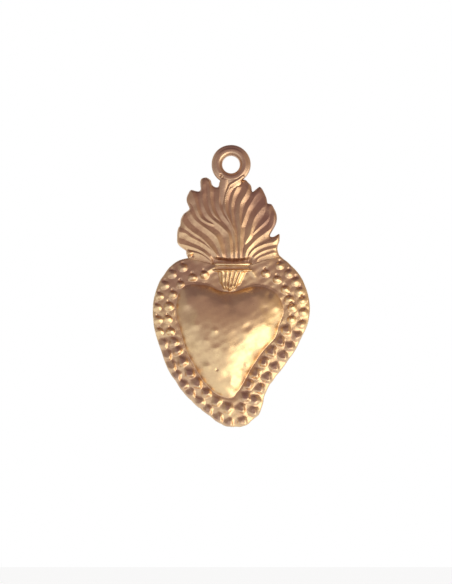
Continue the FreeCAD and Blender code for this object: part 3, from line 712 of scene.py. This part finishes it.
def melt_together(piece, grain, passes):
    """Voxel remesh and a little smoothing, as solder and polishing run parts together."""
    pick(piece)
    remesh = piece.modifiers.new("Melt", "REMESH")
    remesh.mode = "VOXEL"
    remesh.voxel_size = grain * MM
    bpy.ops.object.modifier_apply(modifier="Melt")
    soften = piece.modifiers.new("Soften", "SMOOTH")
    soften.factor = 0.5
    soften.iterations = passes
    bpy.ops.object.modifier_apply(modifier="Soften")
    bpy.ops.object.shade_smooth()


def dent(piece, pits):
    """Presses small pits into the front: place, radius and depth of each."""
    places = read_places(piece.data) / MM
    front = ease(places[:, 1], 0.2, -0.2)
    for x, z, radius, depth in pits:
        places[:, 1] += depth * front * round_spot(places, x, z, radius)
    write_places(piece.data, places * MM)


def make_hanging_ring():
    """The domed ring, its foot and its tang, melted into one piece."""
    ring = turned_ring()
    lumps = tang_run(LEFT_TONGUE) + tang_run(SHOULDER) + tang_run(CREASE) + tang_run(SEAM)
    piece = join_pieces(ring, lumps)
    melt_together(piece, grain=0.033, passes=6)
    dent(piece, SOLDER_PITS)
    name_piece(piece, "domed_ring")
    return piece


# The collar: its middle, the bar that it is shaped from, the rows of its moulding from the
# bottom edge (-1) to the top edge (1), and how far each row stands out.
COLLAR_X = 0.17
COLLAR_Z = -12.85
COLLAR_LENGTH = 5.05
COLLAR_DEPTH = 1.0
COLLAR_HEIGHT = 0.88
MOULDING_ROWS = (-1.0, -0.60, -0.22, -0.10, -0.02, 0.06, 0.30, 0.50, 0.60, 0.70, 0.80, 0.90, 1.0)
MOULDING_OUT = (0.04, 0.06, 0.08, 0.20, 0.68, 0.74, 0.82, 0.87, 0.76, 0.44, 0.36, 0.38, 0.20)


def make_collar():
    """Moulded bar: a box stretched along the joint, bowed, stepped and rounded."""
    deselect_all()
    bpy.ops.mesh.primitive_cube_add(size=1, location=(COLLAR_X * MM, 0, COLLAR_Z * MM))
    bar = bpy.context.object
    bar.scale = (COLLAR_LENGTH * MM, COLLAR_DEPTH * MM, COLLAR_HEIGHT * MM)
    bpy.ops.object.transform_apply(location=True, rotation=True, scale=True)
    name_piece(bar, "collar_bar")
    bpy.ops.object.mode_set(mode="EDIT")
    bpy.ops.mesh.select_all(action="SELECT")
    bpy.ops.mesh.subdivide(number_cuts=23)
    bpy.ops.object.mode_set(mode="OBJECT")
    x, y, z = (read_places(bar.data) / MM).T
    half_length = COLLAR_LENGTH / 2
    half_height = COLLAR_HEIGHT / 2
    up = (z - COLLAR_Z) / half_height
    front = 0.5 - y / COLLAR_DEPTH
    from_middle = np.abs(x - COLLAR_X) / half_length
    bow = np.clip(1 - from_middle ** 2.2, 0, 1)
    aside = np.clip(from_middle, 0, 1)
    moulding = np.interp(up, MOULDING_ROWS, MOULDING_OUT) * (0.44 + 0.56 * bow ** 0.8)
    proud = SHEET - 0.02 + front * (0.08 + moulding) * (1 - aside ** 8)
    narrows_to = -12.68
    z = narrows_to + (z - narrows_to) * (1 - 0.6 * aside ** 4) + 0.07 * aside ** 2 - 0.03
    z = np.clip(z, COLLAR_Z - half_height, COLLAR_Z + half_height)
    write_places(bar.data, np.column_stack([x, BACK_PLANE - proud, z]) * MM)
    pick(bar)
    bpy.ops.object.shade_smooth()
    return bar


def new_group(name, inputs, outputs):
    """An empty shader group with named sockets, and its start and end nodes."""
    group = bpy.data.node_groups.new(name, "ShaderNodeTree")
    for label, kind, value in inputs:
        socket = group.interface.new_socket(name=label, in_out="INPUT", socket_type=kind)
        socket.default_value = value
    for label, kind in outputs:
        group.interface.new_socket(name=label, in_out="OUTPUT", socket_type=kind)
    start = group.nodes.new("NodeGroupInput")
    end = group.nodes.new("NodeGroupOutput")
    return group, start, end


def maths(tree, kind, a, b):
    """Adds, multiplies or compares two values: a socket, and a socket or a number."""
    node = tree.nodes.new("ShaderNodeMath")
    node.operation = kind
    for slot, value in enumerate((a, b)):
        if isinstance(value, (int, float)):
            node.inputs[slot].default_value = value
        else:
            tree.links.new(value, node.inputs[slot])
    return node.outputs[0]


def added_up_to_one(tree, a, b):
    """Adds two values and keeps the sum between 0 and 1."""
    total = maths(tree, "ADD", a, b)
    total.node.use_clamp = True
    return total


def noise(tree, where, scale, detail, rough=0.5):
    """Cloudy noise over a place, finer as its scale grows."""
    node = tree.nodes.new("ShaderNodeTexNoise")
    node.inputs["Scale"].default_value = scale
    node.inputs["Detail"].default_value = detail
    node.inputs["Roughness"].default_value = rough
    tree.links.new(where, node.inputs["Vector"])
    return node.outputs["Fac"]


def spread_out(tree, value, out_low, out_high, low=0.35, high=0.65):
    """Stretches the middle of a noise over a wanted range."""
    node = tree.nodes.new("ShaderNodeMapRange")
    node.inputs["From Min"].default_value = low
    node.inputs["From Max"].default_value = high
    node.inputs["To Min"].default_value = out_low
    node.inputs["To Max"].default_value = out_high
    tree.links.new(value, node.inputs["Value"])
    return node.outputs["Result"]


def blend_colour(tree, share, low, high):
    """Mixes two colours by a share, from the first at 0 to the second at 1."""
    node = tree.nodes.new("ShaderNodeMix")
    node.data_type = "RGBA"
    colour_inputs = (6, 7)
    colour_output = 2
    tree.links.new(share, node.inputs["Factor"])
    for slot, colour in zip(colour_inputs, (low, high)):
        tree.links.new(colour, node.inputs[slot])
    return node.outputs[colour_output]


def make_brass_wear_and_shade():
    """Shared finish: rosy tarnish in the low places, gold where it is rubbed, and a darker colour where a
    piece's spots lay age and painted shade.
    """
    group, start, end = new_group(
        "brass_wear_and_shade",
        (
            ("Rubbed", "NodeSocketColor", (0.80, 0.58, 0.34, 1)),
            ("Tarnished", "NodeSocketColor", (0.42, 0.24, 0.17, 1)),
            ("Patina_and_shade", "NodeSocketColor", (0.52, 0.34, 0.26, 1)),
            ("Hollow", "NodeSocketFloat", 0.0),
            ("Aged_and_shaded", "NodeSocketFloat", 0.0),
            ("Speckle", "NodeSocketFloat", 0.1),
        ),
        (
            ("Colour", "NodeSocketColor"),
            ("Roughness", "NodeSocketFloat"),
            ("Grain", "NodeSocketFloat"),
        ),
    )
    place = group.nodes.new("ShaderNodeTexCoord").outputs["Object"]
    mottle = noise(group, place, scale=420.0, detail=5.0, rough=0.6)
    fine = noise(group, place, scale=2600.0, detail=3.0, rough=0.6)
    clouds = noise(group, place, scale=240.0, detail=3.0)
    grain = noise(group, place, scale=5200.0, detail=4.0, rough=0.65)
    patches = maths(group, "MULTIPLY", spread_out(group, mottle, 0.0, 1.0), 0.35)
    low_places = maths(group, "ADD", patches, start.outputs["Hollow"])
    dots = spread_out(group, fine, -1.0, 1.0, low=0.3, high=0.7)
    speckle = maths(group, "MULTIPLY", dots, start.outputs["Speckle"])
    tarnish = added_up_to_one(group, low_places, speckle)
    age_and_shade = added_up_to_one(group, start.outputs["Aged_and_shaded"], spread_out(group, clouds, -0.14, 0.14))
    aged_and_shaded = blend_colour(group, age_and_shade, start.outputs["Rubbed"], start.outputs["Patina_and_shade"])
    colour = blend_colour(group, tarnish, aged_and_shaded, start.outputs["Tarnished"])
    fine_share = maths(group, "MULTIPLY", fine, 0.4)
    mottle_share = maths(group, "MULTIPLY", mottle, 0.6)
    polish = maths(group, "ADD", fine_share, mottle_share)
    group.links.new(colour, end.inputs["Colour"])
    group.links.new(spread_out(group, polish, 0.27, 0.46), end.inputs["Roughness"])
    group.links.new(grain, end.inputs["Grain"])
    return group


BRASS_WEAR_AND_SHADE = make_brass_wear_and_shade()
GRAIN_DEPTH = 0.00003


def brass(name, rubbed, tarnished, patina, speckle, bump):
    """Raw brass for one piece; low places, aged places and painted shade come from its own attributes."""
    made = bpy.data.materials.new(name)
    made.use_nodes = True
    tree = made.node_tree
    shader = tree.nodes["Principled BSDF"]
    shader.inputs["Metallic"].default_value = 1.0
    surface_look = tree.nodes.new("ShaderNodeGroup")
    surface_look.node_tree = BRASS_WEAR_AND_SHADE
    surface_look.inputs["Rubbed"].default_value = rubbed
    surface_look.inputs["Tarnished"].default_value = tarnished
    surface_look.inputs["Patina_and_shade"].default_value = patina
    surface_look.inputs["Speckle"].default_value = speckle
    for attribute, socket in (("hollow", "Hollow"), ("aged_and_shaded", "Aged_and_shaded")):
        read = tree.nodes.new("ShaderNodeAttribute")
        read.attribute_name = attribute
        tree.links.new(read.outputs["Fac"], surface_look.inputs[socket])
    tree.links.new(surface_look.outputs["Colour"], shader.inputs["Base Color"])
    tree.links.new(surface_look.outputs["Roughness"], shader.inputs["Roughness"])
    ripple = tree.nodes.new("ShaderNodeBump")
    ripple.inputs["Strength"].default_value = bump
    ripple.inputs["Distance"].default_value = GRAIN_DEPTH
    tree.links.new(surface_look.outputs["Grain"], ripple.inputs["Height"])
    tree.links.new(ripple.outputs["Normal"], shader.inputs["Normal"])
    return made


# Where the brass is coloured darker: place, radius and how strongly. On the heart most spots are painted
# shade, on the upper border, the lobes and the cleft, beside darker patches on the left half. The scooped
# beads are dark with painted shade in the pit above them, the flattened ones all over.
BEADS = OUTER_BEADS + INNER_BEADS
# Painted shade: in the pit above each scooped bead, and over the whole of each flattened bead.
PAINTED_PIT_SHADE = tuple((x - 0.04, z + 0.50, 0.26, 0.75 - 0.75 * bead_pressed(x, z)) for x, z in BEADS)
PAINTED_BEAD_SHADE = tuple((x - 0.04, z + 0.05, 0.62, 0.92 * bead_pressed(x, z)) for x, z in BEADS)
HEART_SHADE_AND_AGE = (
    (-7.3, -14.3, 2.6, 0.48), (-4.0, -13.4, 2.2, 0.50), (4.2, -13.2, 2.2, 0.46), (7.4, -14.2, 2.2, 0.36),
    (-4.6, -17.4, 2.2, 0.28), (3.0, -16.8, 1.8, 0.15), (0.0, -17.5, 2.2, 0.16), (-9.2, -18.0, 2.0, 0.20),
    (-2.4, -17.2, 1.2, 0.20), (-5.6, -20.2, 1.6, 0.16), (-0.8, -20.6, 1.4, 0.10),
    *PAINTED_PIT_SHADE,
    *PAINTED_BEAD_SHADE,
)
# Painted shade on the flames: over the upper and right-hand tongues and where the roots meet the collar,
# with two fainter darker spots on the left and in the middle.
FLAMES_SHADE_AND_AGE = (
    (-4.4, -4.2, 2.6, 0.75), (0.2, -4.2, 3.0, 0.70), (-5.8, -7.6, 1.6, 0.35), (3.9, -4.6, 2.2, 0.95),
    (4.6, -7.2, 2.2, 0.95), (0.8, -7.4, 2.2, 0.35), (-2.2, -12.3, 1.4, 0.50), (0.2, -12.3, 1.6, 0.50),
    (2.2, -12.3, 1.2, 0.50), (0.2, -12.2, 0.8, 0.60), (-1.4, -12.2, 0.8, 0.60), (1.6, -12.2, 0.8, 0.60),
)
# Painted shade on the ring: over its upper half and as a dark line along its top rim, with fainter darker
# spots at its sides and on the tang.
RING_SHADE_AND_AGE = (
    (0.0, 1.4, 2.6, 0.55), (-1.8, -0.2, 1.8, 0.35), (1.8, -0.6, 1.6, 0.50), (0.0, -3.6, 1.8, 0.40),
    (-0.45, 2.10, 0.26, 0.55), (0.0, 2.17, 0.26, 0.70), (0.45, 2.10, 0.26, 0.70), (0.85, 1.96, 0.24, 0.50),
)
# Painted shade on the collar's lower band, under its bright bead.
COLLAR_UNDERSIDE_SHADE = ((0.2, -13.1, 0.30, 0.60),)


def mark_age_and_shade(piece, spots):
    """Writes how far each vertex is darkened by age and by painted shade, from the listed soft spots."""
    places = read_places(piece.data) / MM
    untouched = np.ones(len(places))
    for x, z, radius, amount in spots:
        untouched *= 1 - amount * round_spot(places, x, z, radius)
    write_layer(piece.data, "aged_and_shaded", 1 - untouched)


def mark_hollows(piece, deep, most, reach=14):
    """Writes how deep each vertex lies among its neighbours, for tarnish and wear."""
    mesh = piece.data
    places = read_places(mesh) / MM
    count = len(places)
    normals = np.zeros(count * 3)
    mesh.vertices.foreach_get("normal", normals)
    edges = np.zeros(len(mesh.edges) * 2, int)
    mesh.edges.foreach_get("vertices", edges)
    a, b = edges.reshape(-1, 2).T
    neighbours = np.bincount(a, minlength=count) + np.bincount(b, minlength=count)
    smooth = places.copy()
    for _ in range(reach):
        total = np.zeros((count, 3))
        for k in range(3):
            total[:, k] = np.bincount(a, smooth[b, k], count) + np.bincount(b, smooth[a, k], count)
        smooth = total / neighbours[:, None]
    depth = ((smooth - places) * normals.reshape(-1, 3)).sum(1)
    write_layer(mesh, "hollow", np.clip(depth / deep, -0.4, most))


def finish_piece(piece, node, slot, spots, deep, most, **look):
    """Ages a piece and paints its shade spots, gives it its own brass and puts it in the place of its
    solid.
    """
    mark_hollows(piece, deep, most)
    mark_age_and_shade(piece, spots)
    piece.data.materials.clear()
    piece.data.materials.append(brass(slot, **look))
    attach(piece, "root")
    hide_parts(node)


heart = make_heart_shell()
flames = make_flame_fan()
collar = make_collar()
ring = make_hanging_ring()

finish_piece(
    heart, "heart_shell", "struck_brass", HEART_SHADE_AND_AGE, deep=0.20, most=0.40,
    rubbed=(0.91, 0.67, 0.38, 1), tarnished=(0.60, 0.37, 0.26, 1), patina=(0.54, 0.35, 0.265, 1),
    speckle=0.10, bump=0.3,
)
finish_piece(
    flames, "flame_fan", "flame_brass", FLAMES_SHADE_AND_AGE, deep=0.07, most=0.65,
    rubbed=(0.85, 0.595, 0.35, 1), tarnished=(0.51, 0.29, 0.20, 1), patina=(0.44, 0.262, 0.20, 1),
    speckle=0.24, bump=0.6,
)
# The collar's brass is lighter than the other pieces' brass: painted light on the bar.
finish_piece(
    collar, "collar_band", "collar_brass", COLLAR_UNDERSIDE_SHADE, deep=0.08, most=0.6,
    rubbed=(1.0, 0.79, 0.50, 1), tarnished=(0.80, 0.54, 0.39, 1), patina=(0.78, 0.56, 0.42, 1),
    speckle=0.08, bump=0.2,
)
finish_piece(
    ring, "hanging_ring", "ring_brass", RING_SHADE_AND_AGE, deep=0.09, most=0.6,
    rubbed=(0.84, 0.60, 0.38, 1), tarnished=(0.50, 0.31, 0.22, 1), patina=(0.52, 0.335, 0.255, 1),
    speckle=0.14, bump=0.35,
)


def stage_sight(tree):
    """1 for rays that should meet plain white: the camera's, reflected and refracted ones."""
    paths = tree.nodes.new("ShaderNodeLightPath")
    seen = maths(tree, "MAXIMUM", paths.outputs["Is Camera Ray"], paths.outputs["Is Glossy Ray"])
    return maths(tree, "MAXIMUM", seen, paths.outputs["Is Transmission Ray"])


def white_floor_material():
    """White to the camera and to reflections, and still darker where a shadow falls."""
    made = bpy.data.materials.new("pale_floor")
    made.use_nodes = True
    tree = made.node_tree
    shader = tree.nodes["Principled BSDF"]
    shader.inputs["Base Color"].default_value = (0.92, 0.92, 0.92, 1)
    shader.inputs["Roughness"].default_value = 0.9
    glow = tree.nodes.new("ShaderNodeEmission")
    glow.inputs["Strength"].default_value = 1.0
    mixer = tree.nodes.new("ShaderNodeMixShader")
    tree.links.new(maths(tree, "MULTIPLY", stage_sight(tree), 0.8), mixer.inputs[0])
    tree.links.new(shader.outputs[0], mixer.inputs[1])
    tree.links.new(glow.outputs[0], mixer.inputs[2])
    tree.links.new(mixer.outputs[0], tree.nodes["Material Output"].inputs["Surface"])
    return made


def card_material(name, colour):
    """Plain studio card of one colour, for the metal to reflect."""
    made = bpy.data.materials.new(name)
    made.use_nodes = True
    tree = made.node_tree
    tree.nodes.remove(tree.nodes["Principled BSDF"])
    glow = tree.nodes.new("ShaderNodeEmission")
    glow.inputs["Color"].default_value = colour
    tree.links.new(glow.outputs[0], tree.nodes["Material Output"].inputs["Surface"])
    return made


def lay_card(name, place, size, turn, material):
    """A flat card of the stage: the floor, or one that the metal reflects."""
    deselect_all()
    bpy.ops.mesh.primitive_plane_add(size=1, location=[c * MM for c in place], rotation=turn)
    card = bpy.context.object
    card.scale = (size[0] * MM, size[1] * MM, 1)
    card.name = name
    card.data.materials.append(material)
    return card


def hang_card(name, place, size, turn, colour):
    """A card out of the camera's sight that only reflections show."""
    card = lay_card(name, place, size, turn, card_material(name, colour))
    card.visible_camera = False
    card.visible_shadow = False


def make_world():
    """Soft light from all round on the charm, and plain white behind it."""
    world = bpy.data.worlds.new("studio")
    bpy.context.scene.world = world
    world.use_nodes = True
    tree = world.node_tree
    room = tree.nodes["Background"]
    room.inputs["Color"].default_value = (0.80, 0.78, 0.76, 1)
    white = tree.nodes.new("ShaderNodeBackground")
    white.inputs["Color"].default_value = (1, 1, 1, 1)
    chooser = tree.nodes.new("ShaderNodeMixShader")
    tree.links.new(stage_sight(tree), chooser.inputs[0])
    tree.links.new(room.outputs[0], chooser.inputs[1])
    tree.links.new(white.outputs[0], chooser.inputs[2])
    tree.links.new(chooser.outputs[0], tree.nodes["World Output"].inputs["Surface"])


def add_lamp(name, place, aim, side, power, colour):
    """A square lamp that looks at a place."""
    lamp = bpy.data.lights.new(name, "AREA")
    lamp.shape = "RECTANGLE"
    lamp.size = side * MM
    lamp.size_y = side * MM
    lamp.energy = power
    lamp.color = colour
    holder = bpy.data.objects.new(name, lamp)
    bpy.context.scene.collection.objects.link(holder)
    spot = Vector([c * MM for c in place])
    target = Vector([c * MM for c in aim])
    holder.location = spot
    holder.rotation_mode = "QUATERNION"
    holder.rotation_quaternion = (target - spot).to_track_quat("-Z", "Y")
    holder.visible_camera = False


def place_camera():
    """A long lens, level and straight in front of the charm."""
    lens = bpy.data.cameras.new("camera")
    lens.lens = 100
    lens.sensor_width = 36
    lens.clip_start = 0.01
    lens.clip_end = 10
    camera = bpy.data.objects.new("camera", lens)
    bpy.context.scene.collection.objects.link(camera)
    camera.location = (-0.64 * MM, -206 * MM, -16.2 * MM)
    camera.rotation_euler = (QUARTER, 0, 0)
    bpy.context.scene.camera = camera


make_world()
LYING = (0, 0, 0)
FACING_CHARM = (QUARTER, 0, 0)
AT_THE_SIDE = (QUARTER, 0, QUARTER)
lay_card("floor", (0, -1120, -180), (6000, 3760), LYING, white_floor_material())
hang_card("front_card", (-60, -320, 150), (900, 460), FACING_CHARM, (0.41, 0.305, 0.315, 1))
hang_card("top_card", (0, -60, 260), (900, 700), LYING, (0.225, 0.165, 0.185, 1))
hang_card("left_card", (-260, -60, 75), (600, 350), AT_THE_SIDE, (0.47, 0.42, 0.40, 1))
hang_card("right_card", (260, -60, 110), (600, 340), AT_THE_SIDE, (0.50, 0.385, 0.31, 1))
add_lamp(
    "low_warm", (104, -88, -108), aim=(0, 0, -20),
    side=165, power=0.147, colour=(1.0, 0.925, 0.70),
)
place_camera()

bpy.context.scene.view_settings.view_transform = "Standard"
